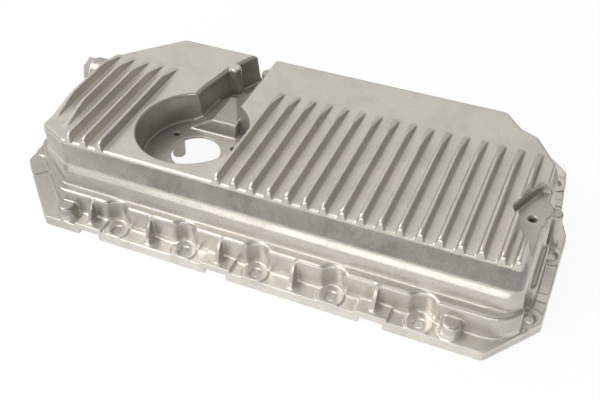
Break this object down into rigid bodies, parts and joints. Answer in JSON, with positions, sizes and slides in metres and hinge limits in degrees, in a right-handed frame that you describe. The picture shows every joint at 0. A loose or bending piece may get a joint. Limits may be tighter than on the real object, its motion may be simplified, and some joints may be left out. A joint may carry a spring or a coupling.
{
  "type": "engine oil pan",
  "caption": "Die-cast aluminium engine oil pan with a sealing flange, cooling fins, a round sensor recess and a hex drain plug.",
  "frame": {"origin": "centre of the sealing face, on the plane the flange seals on", "axes": "+X along the engine towards the mounting pad, +Y across it towards the wall the sensor valley opens through, +Z from the sealing face to the pan's floor"},
  "size_m": [0.442, 0.223, 0.076],
  "materials": {
    "cast_aluminium": "as-cast satin",
    "plug_steel": "satin",
    "ring_aluminium": "satin"
  },
  "bodies": {
    "root": {"oil_pan": "cast_aluminium", "drain_plug": "plug_steel", "sealing_ring": "ring_aluminium"}
  },
  "joints": []
}
